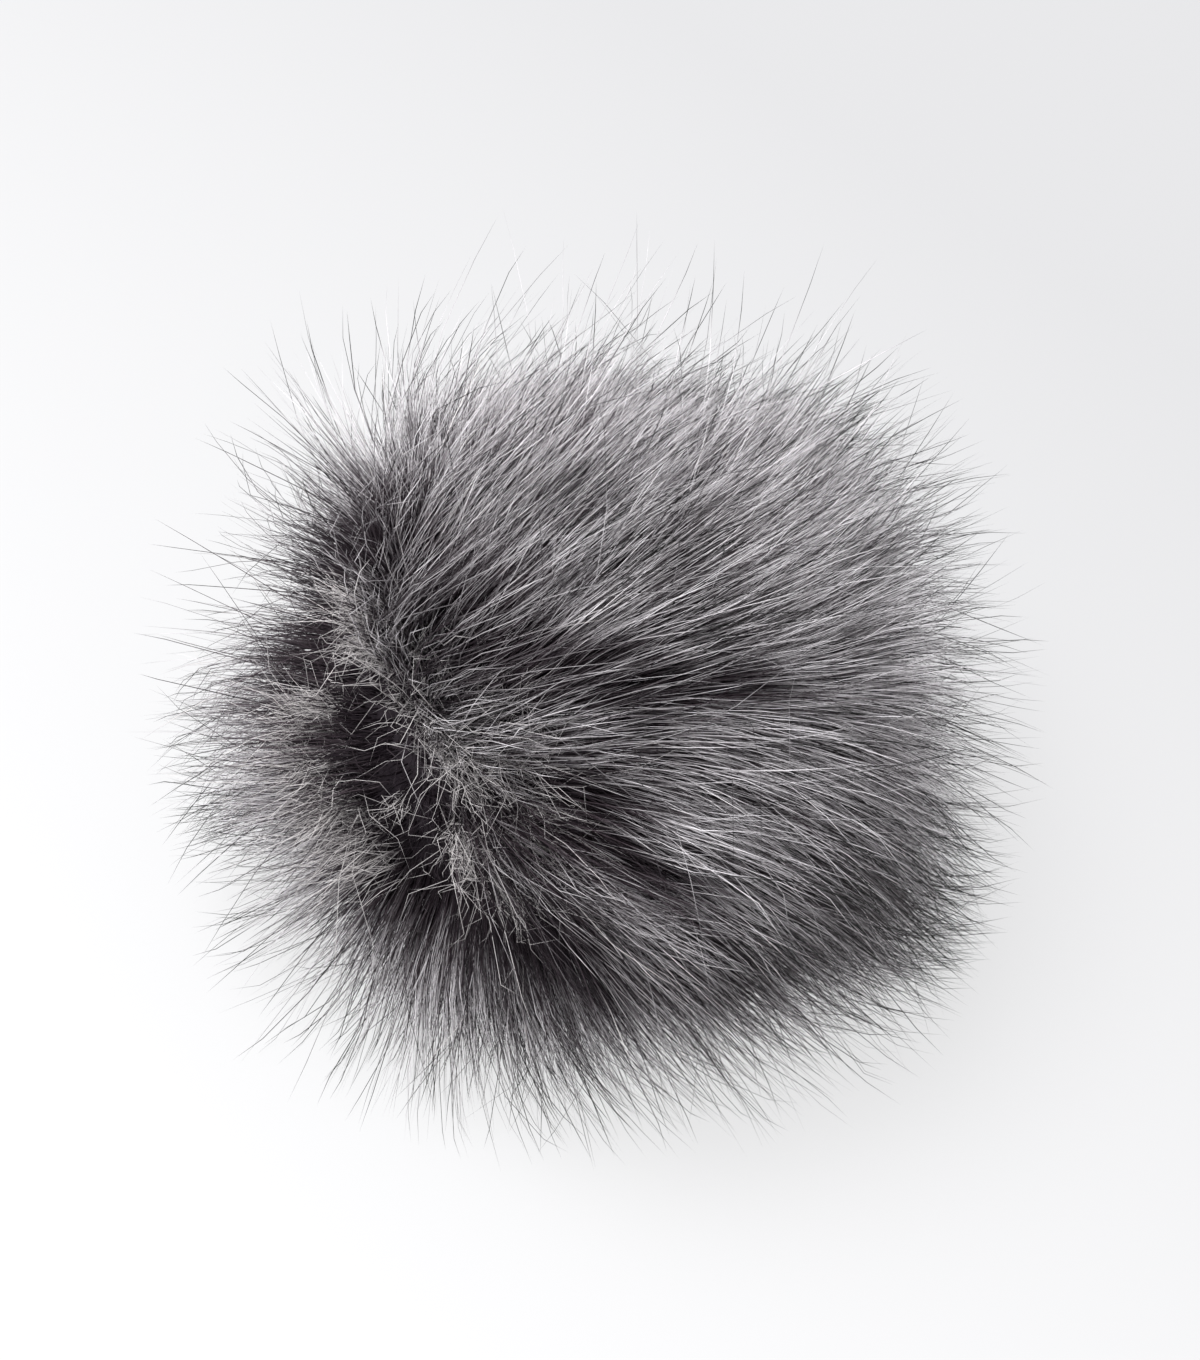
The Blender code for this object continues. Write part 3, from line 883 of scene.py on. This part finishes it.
@dataclass
class Strands:
    """Hairs worked out as arrays: places by station, hair and axis, and the rest by station, hair."""

    places: Array
    widths: Array
    tones: Array
    along: Array

    def part(self, chosen: Array) -> "Strands":
        """Returns the hairs of those numbers."""
        return Strands(*(values[:, chosen] for values in vars(self).values()))

    def mesh(self, name: str, rng: np.random.Generator) -> Mesh:
        """Carries a three-sided profile along each hair, and closes it in a point at its tip.

        A ring's corners stand at thirds of a turn in the plane of two vectors: a random one made
        square to the hair's run, and its cross product with the run. One triangle closes the root.
        Tone runs across the colour layout, in a narrow strip, and the place along the hair up it.

        Args:
            name: of the mesh.
            rng: source of the side vectors.

        Returns:
            The mesh.
        """
        stations, hairs = self.tones.shape
        rings = stations - 1
        run = unit(np.gradient(self.places, axis=0))[:rings]
        side = rng.standard_normal((1, hairs, 3))
        side = unit(side - (side * run).sum(-1, keepdims=True) * run)
        across = np.cross(run, side)
        turn = 2 * math.pi * np.arange(SIDES) / SIDES
        spoke = np.cos(turn)[:, None] * side[:, :, None] + np.sin(turn)[:, None] * across[:, :, None]
        ring = self.places[:rings, :, None] + self.widths[:rings, :, None, None] * spoke
        corners = np.concatenate(
            (ring.transpose(1, 0, 2, 3).reshape(hairs, -1, 3), self.places[-1][:, None]), axis=1
        )
        quads = tube_faces(rings, SIDES)
        tip = cap_faces(np.arange(SIDES) + (rings - 1) * SIDES, rings * SIDES)
        triangles = np.concatenate((tip, ((0, 2, 1),)))
        step = (rings * SIDES + 1) * np.arange(hairs)[:, None, None]
        strip = np.array((-0.5, 0.5, 0.0)) * TONE_STRIP
        tone = (self.tones[:rings].T[:, :, None] + strip).reshape(hairs, -1)
        tone = np.concatenate((tone, self.tones[-1:].T), axis=1)
        along = np.concatenate((np.repeat(self.along[:rings].T, SIDES, 1), self.along[-1:].T), 1)
        along[:, 0] += TONE_STRIP
        layout = np.stack((tone, along), -1)
        uvs = np.concatenate([layout[:, faces].reshape(-1, 2) for faces in (quads, triangles)])
        quads = (quads + step).reshape(-1, 4)
        triangles = (triangles + step).reshape(-1, 3)
        return mesh_from(corners.reshape(-1, 3), quads, triangles, name, uvs)


def tube_faces(rings: int, sides: int) -> Array:
    """Numbers the four-sided faces between so many rings of so many corners.

    Args:
        rings: how many rings the tube has.
        sides: how many corners each has, numbered on from ring to ring.

    Returns:
        The corner numbers, four for each face.
    """
    ring, side = np.meshgrid(np.arange(rings - 1) * sides, np.arange(sides), indexing="ij")
    step = (side + 1) % sides
    faces = np.stack((ring + side, ring + step, ring + sides + step, ring + sides + side), -1)
    return faces.reshape(-1, 4)


def cap_faces(ring: Array, point: int) -> Array:
    """Numbers the three-sided faces from a ring's corners, in order, to a point."""
    return np.stack((ring, np.roll(ring, -1), np.full(len(ring), point)), 1)


@dataclass(frozen=True)
class Outline:
    """How far a tip may stand out from the ball's middle, in metres.

    It stands freely up to soft, and by at most room more. Both change with its direction: right,
    towards the top, towards the front, and askew between the axes.
    """

    soft: float = 0.058
    right: float = 0.003
    top: float = 0.004
    front: float = 0.002
    askew: float = 0.026
    room: float = 0.013
    room_top: float = 0.003

    def held(self, path: Array, centre: Array) -> Array:
        """Shortens the hairs whose tips stand out too far.

        Past the soft radius, a tip's further reach is kept as room times the tanh of its share of
        the room. The whole hair is drawn in towards its root by the same share.

        Args:
            path: places by station, hair and axis.
            centre: the ball's middle.

        Returns:
            The places, with the roots where they were.
        """
        ends = path[[0, -1]] - centre
        rooted, radius = np.linalg.norm(ends, axis=-1)
        outward = ends[1] / radius[:, None]
        top, front = np.maximum(outward[:, 2], 0.0), np.maximum(-outward[:, 1], 0.0)
        askew = 1 - np.abs(outward).max(1)
        soft = self.soft + self.right * outward[:, 0] - self.top * top - self.front * front
        soft = soft + self.askew * askew
        room = self.room - self.room_top * top
        over = np.maximum(radius - soft, 0.0)
        kept = radius - over + room * np.tanh(over / room)
        share = np.where(over > 0, (kept - rooted) / np.maximum(radius - rooted, 1e-6), 1.0)
        return path[0] + share[:, None] * (path - path[0])


@dataclass
class Pile:
    """All the hair of the pom pom: its coats, clumps and colours.

    What follows holds for all the coats, in metres and shares. Guides are guide_reach long, in
    guide_steps places, or tuft_steps in a tuft, and shaken by a share of their distance. spare is
    how many directions are tried for each hair that is kept. A coat that grows near the parting is
    full within near_full of its angle, and the tried directions reach a factor and a margin of
    near_spare past it. foot is the height under which no hair grows, and thin_below the share left
    out where the ball faces down by more than thin_at. Hairs gather to their clumps, and fray, as
    the given powers of their share of length. contrast below 1 makes most hairs either dark or
    pale. Near the floor hairs stay at lowest, or by chance up to loose above it. clump_end is how
    much earlier in the bands the hairs of paler clumps end, and clump_dark how much darker the
    streaks are in a clump that is clump_tone paler. pitch_range spreads the frizz's waves, and
    furthest is the last place along the bands.
    """

    ball: MattedBall
    flow: PileFlow
    rng: np.random.Generator
    outline: Outline = Outline()
    root_depth: float = 0.0006  # how far below the matted surface a hair starts
    guide_reach: float = 0.038
    guide_steps: int = 14
    sway_at: float = 0.030
    shaken: float = 0.35
    tuft_steps: int = 8
    sunk_least: float = 0.99  # of the ball's radius
    spare: float = 1.9
    near_spare: tuple[float, float] = (1.6, 0.5)
    near_full: float = 0.6
    foot: float = 0.0015
    thin_below: float = 0.35
    thin_at: tuple[float, float] = (0.3, 0.9)
    fine_power: float = 1.5
    coarse_power: float = 2.0
    fray_power: float = 1.4
    fray_spread: float = 0.7
    fray_limits: tuple[float, float] = (-2.0, 1.6)
    fray_most: float = 1.1
    contrast: float = 0.55
    lowest: float = 0.0004
    loose: float = 0.0008
    clump_end: float = 0.35
    # clump_dark scales the streaks' painted shade in paler clumps
    clump_dark: float = 0.3
    clump_tone: float = 0.25
    clump_limits: tuple[float, float] = (-1.5, 1.0)
    pull_range: tuple[float, float] = (0.45, 1.15)
    growth_limits: tuple[float, float] = (0.7, 1.35)
    pitch_range: tuple[float, float] = (0.7, 1.4)
    tone_limits: tuple[float, float] = (0.02, 0.98)
    end_limits: tuple[float, float] = (0.3, 1.0)
    furthest: float = 0.995
    tapering: tuple[float, float] = (0.45, 1.0)
    width_range: tuple[float, float] = (0.7, 1.3)
    fine: Clumps = field(init=False)
    coarse: Clumps = field(init=False)
    tufts: Clumps = field(init=False)

    def __post_init__(self) -> None:
        """Sets out the clumps."""
        self.fine = self.clumps(count=3400, sway=0.0024, tone=0.22, growth=0.10)
        self.coarse = self.clumps(count=560, sway=0.0044, tone=0.19, growth=0.18)
        self.tufts = self.laid_tufts(reach=0.020, droop=0.003, tone=0.10)

    def spread(self, count: int, jitter: float) -> Array:
        """Spreads directions evenly over the ball, as a spiral from pole to pole, then shakes them.

        Args:
            count: how many directions.
            jitter: how far each is shaken, as a share of its distance to the next.

        Returns:
            Unit vectors.
        """
        index = np.arange(count) + 0.5
        up = 1 - 2 * index / count
        turn = math.pi * (1 + math.sqrt(5)) * index
        side = np.sqrt(1 - up * up)
        points = np.stack((side * np.cos(turn), side * np.sin(turn), up), 1)
        shake = jitter * math.sqrt(4 * math.pi / count)
        return unit(points + shake * self.rng.standard_normal(points.shape))

    def clumps(self, count: int, sway: float, tone: float, growth: float) -> Clumps:
        """Lays guide hairs: the flow from each one's root, bent aside as the square of its length.

        Args:
            count: how many.
            sway: how far they are bent aside 30 mm from the root.
            tone: spread of their lightness.
            growth: spread of their length, as a share of it.

        Returns:
            The clumps.
        """
        seeds, reach = self.spread(count, jitter=self.shaken), self.guide_reach
        share = np.linspace(0.0, 1.0, self.guide_steps)
        path = self.flow.follow(self.ball.surface(seeds), np.full(count, reach), tuple(share))
        bend = sway * self.rng.standard_normal((count, 3)) * (reach / self.sway_at) ** 2
        return Clumps(
            seeds,
            path + share[:, None, None] ** 2 * bend,
            reach,
            self.rng.uniform(*self.pull_range, count),
            tone * self.rng.standard_normal(count),
            np.clip(1 + growth * self.rng.standard_normal(count), *self.growth_limits),
        )

    def laid_tufts(self, reach: float, droop: float, tone: float) -> Clumps:
        """Lays a guide for each tuft of the table: straight, less a droop as the share squared.

        Args:
            reach: length of the guides.
            droop: how far their ends droop.
            tone: spread of their lightness.

        Returns:
            The clumps.
        """
        rows = np.array(TUFTS)
        seeds, share = places_seen(rows), np.linspace(0.0, 1.0, self.tuft_steps)[:, None, None]
        run = runs_seen(rows, 0.0) + rows[:, 4:5] * VIEW[2]
        run = run - (run * seeds).sum(1, keepdims=True) * seeds
        path = self.ball.surface(seeds) + share * reach * unit(seeds + run)
        path = path - share**2 * np.array((0.0, 0.0, droop))
        tones = tone * self.rng.standard_normal(len(rows))
        return Clumps(seeds, path, reach, np.ones(len(rows)), tones, rows[:, 6] / TUFT_LENGTH)

    def seats(self, coat: HairCoat) -> Array:
        """Chooses where a coat's hairs grow.

        Of more even directions than hairs, those on the flat foot are dropped, and the others kept
        by chance: none far from the parting in a coat that grows near it, and fewer where the coat
        or a zone is bare and below. A tufted coat's are scattered about the tufts' roots instead.

        Args:
            coat: the coat.

        Returns:
            Unit vectors from the ball's middle.
        """
        if coat.tufted:
            widths = np.array(TUFTS)[:, 5]
            number = self.rng.choice(len(widths), coat.hairs, p=widths**2 / (widths**2).sum())
            shake = widths[number, None] * MILLIMETRE / self.ball.radius
            scatter = shake * self.rng.standard_normal((coat.hairs, 3))
            return unit(self.tufts.seeds[number] + scatter)
        factor, margin = self.near_spare
        share = 0.5 * (1 - math.cos(min(coat.near * factor + margin, math.pi)))
        outward = self.spread(int(coat.hairs * self.spare / share), jitter=0.5)
        outward = outward[self.ball.surface(outward)[:, 2] > self.foot]
        angle = PARTING.angle(outward)
        thins = self.near_full * coat.near
        chance = 1 - smooth(thins, coat.near, angle) if coat.near < math.pi else 1.0
        if coat.bare:
            chance = chance * smooth(0.0, coat.bare, angle)
            for zone in ZONES:
                chance = chance * (1 - zone.sparse * zone.cover(outward))
        chance = chance * (1 - self.thin_below * smooth(*self.thin_at, -outward[:, 2]))
        kept = outward[self.rng.random(len(outward)) < chance]
        return kept[self.rng.permutation(len(kept))[: coat.hairs]]

    def strands(self, coat: HairCoat) -> Strands:
        """Lays a coat's hairs.

        Each follows the flow from its root, or its tuft's guide, gathers to its clumps as its share
        of length to a power, which is 1 in a tuft, frays as another power, and waves by sines of its
        place along the hair. It sinks into the streaks, unless it is in a tuft, and stays above the
        floor.

        Args:
            coat: the coat.

        Returns:
            The hairs.
        """
        rng, stations = self.rng, np.array(coat.stations)
        outward = self.seats(coat)
        count = len(outward)
        guides, power = (self.tufts, 1.0) if coat.tufted else (self.coarse, self.coarse_power)
        fine, coarse = self.fine.owners(outward), guides.owners(outward)
        lengths = coat.length * rng.uniform(*coat.length_range, count)
        lengths = lengths * self.fine.growths[fine] * guides.growths[coarse]
        if not coat.tufted:
            lengths = self.flow.lengths(outward, lengths, coat.short)
        roots = self.ball.surface(outward) - self.root_depth * outward
        share = stations[:, None, None]
        travelled = stations[:, None] * lengths
        if coat.tufted:
            path = roots + guides.places(coarse, travelled) - guides.path[0, coarse]
        else:
            path = self.flow.follow(roots, lengths, coat.stations)
        for clumps, owner, pull, growth in (
            (self.fine, fine, coat.pull_fine, self.fine_power),
            (guides, coarse, coat.pull_coarse, power),
        ):
            strength = np.minimum(pull * clumps.pulls[owner], MOST_PULLED)[:, None]
            path = path + strength * share**growth * (clumps.places(owner, travelled) - path)
        uneven = np.clip(rng.standard_normal(count), *self.fray_limits)
        fray = coat.fray * np.exp(self.fray_spread * uneven)
        fray = (fray * np.clip(lengths / coat.length, 0.0, self.fray_most))[:, None]
        path = path + fray * share**self.fray_power * rng.standard_normal((count, 3))
        tone = 2 * rng.beta(self.contrast, self.contrast, count) - 1
        path = path + (0.5 * coat.lift * tone[:, None]) * share * outward
        path = path + self.waves(coat, lengths)
        path = self.outline.held(path if coat.tufted else self.sunk(path), self.flow.centre)
        path[..., 2] = np.maximum(path[..., 2], rng.random(count) * self.loose + self.lowest)
        clumped = self.fine.tones[fine] + guides.tones[coarse]
        tones, along = self.colours(coat, path, coat.tone[0] + coat.tone[1] * tone, clumped)
        return Strands(path, self.widths(coat, outward), tones, along)

    def waves(self, coat: HairCoat, lengths: Array) -> Array:
        """Works out the frizz: three sines along each hair, of random phase, one for each axis.

        Args:
            coat: the coat.
            lengths: of the hairs.

        Returns:
            Offsets by station, hair and axis, which grow from nothing at the root.
        """
        share = np.array(coat.stations)[:, None, None]
        phase = 2 * math.pi * self.rng.random((len(lengths), 3))
        pitch = self.rng.uniform(*self.pitch_range, phase.shape) * 2 * math.pi / coat.frizz_length
        return coat.frizz * share * np.sin(share * lengths[:, None] * pitch + phase)

    def sunk(self, path: Array) -> Array:
        """Draws the hairs in towards the ball's middle at the streaks, though not into the ball."""
        reach = path - self.flow.centre
        radius = np.linalg.norm(reach, axis=-1, keepdims=True)
        outward = reach / np.maximum(radius, 1e-9)
        sink = sum(streak.depth * streak.line.cover(outward, streak.width) for streak in SHADED_STREAKS)
        lowest = np.minimum(radius, self.ball.radius * self.sunk_least)
        return self.flow.centre + outward * np.maximum(radius - sink[..., None], lowest)

    def colours(self, coat: HairCoat, path: Array, tone: Array, clumped: Array) -> tuple:
        """Works out the tone along each hair, and its place along the colour bands.

        Tone is the hair's own, plus that of its clumps, of the zones at its tip, some of which paint light
        on the top and right of the ball, and of the streaks that it crosses, which paint shade. The place
        runs from 0 to the hair's end, but falls back in dark streaks as painted shade.

        Args:
            coat: the coat.
            path: places by station, hair and axis.
            tone: each hair's own.
            clumped: tone that each has from its clumps.

        Returns:
            Tones and places along the bands, by station and hair.
        """
        rng, count = self.rng, path.shape[1]
        outward = unit(path - self.flow.centre)
        end = rng.uniform(*coat.ends, count) - self.clump_end * clumped
        tone = tone + clumped
        # zones add tone, which on the top and right of the ball is painted light
        for zone in ZONES:
            cover = zone.cover(outward[-1])
            tone = tone + zone.tone * cover
            end = end + zone.end * cover
        along = np.array(coat.stations)[:, None] * np.clip(end, *self.end_limits)
        tone = tone * np.ones(along.shape)
        dark = np.zeros(along.shape)
        # the streaks paint shade, deeper in paler clumps: the place falls back towards the dark roots and
        # the tone drops
        uneven = 1 + self.clump_dark * np.clip(clumped / self.clump_tone, *self.clump_limits)
        for streak in () if coat.tufted else SHADED_STREAKS:
            cover = streak.line.cover(outward, streak.width)
            dark = np.maximum(dark, streak.dark * cover * uneven)
            tone = tone + streak.tone * cover
        return np.clip(tone, *self.tone_limits), np.clip(along * (1 - dark), 0.0, self.furthest)

    def widths(self, coat: HairCoat, outward: Array) -> Array:
        """Works out half widths: full to near the middle of the hair, then a taper to the tip."""
        share = np.array(coat.stations)[:, None]
        taper = 1 - coat.taper * smooth(*self.tapering, share)
        return coat.half_width * taper * self.rng.uniform(*self.width_range, len(outward))

    def build(self) -> list[Object]:
        """Builds every coat, each in as many pieces as it says, by turn around the ball.

        Returns:
            The pieces.
        """
        made = []
        for layer, coat in COATS.items():
            strands = self.strands(coat)
            material = hair_material(layer.value, coat.finish)
            middle = strands.places[0] - self.flow.centre
            order = np.argsort(np.arctan2(middle[:, 1], middle[:, 0]))
            for number, chosen in enumerate(np.array_split(order, coat.pieces)):
                name = f"{layer.value}_{number + 1}" if coat.pieces > 1 else layer.value
                mesh = strands.part(chosen).mesh(name, self.rng)
                mesh.materials.append(material)
                made.append(link(name, mesh))
                log.info("%s: %d hairs", name, len(chosen))
        return made


SHORT = (0.0, 0.45, 1.0)
MIDDLING = (0.0, 0.34, 0.68, 1.0)
LONG = (0.0, 0.28, 0.54, 0.82, 1.0)
LONGEST = (0.0, 0.24, 0.44, 0.65, 0.87, 1.0)
TUFTED = HairFinish(
    light=linear(244, 239, 239),
    shade=linear(60, 54, 56),
    root_end=0.15,
    middle_start=0.45,
    tip_start=0.97,
    tip_end=1.0,
)

COATS = {
    Layer.UNDERCOAT: HairCoat(
        hairs=8000, length=0.018, length_range=(0.7, 1.15), half_width=0.00013, stations=SHORT,
        pull_fine=0.55, pull_coarse=0.15, fray=0.0012, frizz=0.0004, frizz_length=0.010, lift=0.0005,
        tone=(0.16, 0.25), ends=(0.45, 0.75), finish=HairFinish(),
    ),
    Layer.LONG_PILE: HairCoat(
        hairs=34500, length=0.0305, length_range=(0.42, 1.12), half_width=0.000060, stations=MIDDLING,
        pull_fine=0.24, pull_coarse=0.24, fray=0.0027, frizz=0.0003, frizz_length=0.018, lift=0.003,
        tone=(0.42, 0.70), ends=(0.70, 1.00), finish=HairFinish(tip_start=0.74, tip_end=0.90),
        bare=math.radians(20), pieces=3,
    ),
    Layer.GUARD_HAIR: HairCoat(
        hairs=7500, length=0.0325, length_range=(0.55, 1.30), half_width=0.000070, stations=LONGEST,
        pull_fine=0.15, pull_coarse=0.15, fray=0.0055, frizz=0.0003, frizz_length=0.022,
        tone=(0.30, 0.50), ends=(1.02, 1.14), finish=HairFinish(tip_start=0.58, tip_end=0.78),
        bare=math.radians(20), taper=0.40, pieces=2,
    ),
    Layer.TUFT: HairCoat(
        hairs=2600, length=0.0150, length_range=(0.45, 1.15), half_width=0.000052, stations=LONG,
        pull_coarse=0.25, fray=0.0034, frizz=0.0016, frizz_length=0.0075, lift=0.001,
        tone=(0.86, 0.42), ends=(0.80, 0.95), finish=TUFTED, tufted=True,
    ),
    Layer.CROSSING: HairCoat(
        hairs=170, length=0.024, length_range=(0.5, 1.2), half_width=0.00008, stations=LONGEST,
        fray=0.0085, frizz=0.0005, frizz_length=0.020,
        tone=(0.80, 0.25), ends=(0.80, 0.95), finish=TUFTED, near=math.radians(48), short=0.9,
    ),
    Layer.STRAY: HairCoat(
        hairs=2000, length=0.037, length_range=(0.7, 1.2), half_width=0.000048, stations=LONGEST,
        fray=0.0095, frizz=0.0005, frizz_length=0.030,
        tone=(0.35, 0.50), ends=(0.90, 1.00), finish=HairFinish(tip_start=0.60, tip_end=0.85),
    ),
}


@dataclass(frozen=True)
class SoftLight:
    """A square light that faces the target: its place from there, its side and its watts."""

    name: str
    place: Direction
    side: float
    power: float

    def hang(self, target: Vector) -> Object:
        """Hangs the light, and returns it."""
        lamp = bpy.data.lights.new(self.name, "AREA")
        lamp.shape = "SQUARE"
        lamp.size = self.side
        lamp.energy = self.power
        hung = link(self.name, lamp)
        hung.location = target + Vector(self.place)
        hung.rotation_euler = Vector(self.place).to_track_quat("Z", "Y").to_euler()
        return hung


@dataclass(frozen=True)
class Studio:
    """The pale floor, the soft lights and the camera.

    The floor glows with painted light, so that the object's shadow on it stays as light as in a light
    tent. Its glow is a mix of dim and bright, whose share of bright is the place along slope plus
    middle, a painted fall-off of light that is darker behind on the right.
    """

    target: Vector
    distance: float = 0.567
    lens: float = 100.0
    lights: tuple[SoftLight, ...] = (
        SoftLight("key", (-0.30, 0.15, 1.0), side=0.6, power=10.5),
        SoftLight("fill", (-0.7, -0.7, 0.7), side=0.8, power=2.0),
    )
    side: float = 6.0
    colour: Colour = linear(110, 110, 112)
    glow: float = 0.782
    dim: Colour = linear(222, 222, 223)
    bright: Colour = linear(255, 255, 255)
    slope: Direction = (-2.8, -2.8, 0.0)
    middle: float = 0.6
    world_colour: Colour = (1.0, 1.0, 1.0, 1.0)
    world_strength: float = 0.76

    def camera(self) -> Object:
        """Sets the camera in front of and above the target, looking at it, and returns it."""
        camera = link("camera", bpy.data.cameras.new("camera"))
        camera.data.lens = self.lens
        back = Vector((0.0, -math.cos(ELEVATION), math.sin(ELEVATION)))
        camera.location = self.target + self.distance * back
        camera.rotation_euler = back.to_track_quat("Z", "Y").to_euler()
        bpy.context.scene.camera = camera
        return camera

    def paper(self) -> Material:
        """Makes the floor's material, a shade darker behind on the right."""
        look = Look("floor_paper")
        place = look.add("ShaderNodeTexCoord").outputs["Object"]
        across = look.add("ShaderNodeVectorMath", {0: place, 1: self.slope}, operation="DOT_PRODUCT")
        share = look.calculate("ADD", across.outputs["Value"], self.middle)
        # painted light: the floor's glow, dimmer behind on the right
        glow = {"Emission Color": look.mix(share, self.dim, self.bright), "Emission Strength": self.glow}
        return look.finish({"Base Color": self.colour} | glow | gloss(roughness=0.9, specular=0.1))

    def floor(self) -> Object:
        """Lays the floor just under the object, and returns it."""
        half = self.side / 2
        corners = np.array(((-half, -half, 0), (half, -half, 0), (half, half, 0), (-half, half, 0)))
        mesh = mesh_from(corners, np.array(((0, 1, 2, 3),)), np.zeros((0, 3), int), "floor")
        mesh.materials.append(self.paper())
        floor = link("floor", mesh)
        return floor

    def build(self) -> None:
        """Builds the whole studio."""
        self.camera()
        self.floor()
        for light in self.lights:
            light.hang(self.target)
        world = bpy.data.worlds.new("studio")
        world.use_nodes = True
        surround = world.node_tree.nodes["Background"]
        surround.inputs["Color"].default_value = self.world_colour
        surround.inputs["Strength"].default_value = self.world_strength
        scene = bpy.context.scene
        scene.world = world
        scene.view_settings.view_transform = "Standard"


def main() -> None:
    """Builds the pom pom on its frame, then the studio, and reports each piece."""
    logging.basicConfig(level=logging.INFO, format="%(name)s: %(message)s")
    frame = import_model()
    spot = frame["record"]["mounts"][0]["pos_m"]
    centre = np.array((spot[0], spot[1], spot[2] + CENTRE_HEIGHT))
    ball = MattedBall(centre)
    core = ball.build()
    pile = Pile(ball, PileFlow(centre), np.random.default_rng(SEED))
    for piece in (core, *pile.build()):
        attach(piece, BODY)
        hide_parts(NODE)
        log.info("%s: %d faces", piece.name, len(piece.data.polygons))
    upwards = Vector((0.0, math.sin(ELEVATION), math.cos(ELEVATION)))
    Studio(Vector(centre) + Vector((LOOK_RIGHT, 0.0, 0.0)) + LOOK_UP * upwards).build()


if __name__ == "__main__":
    main()
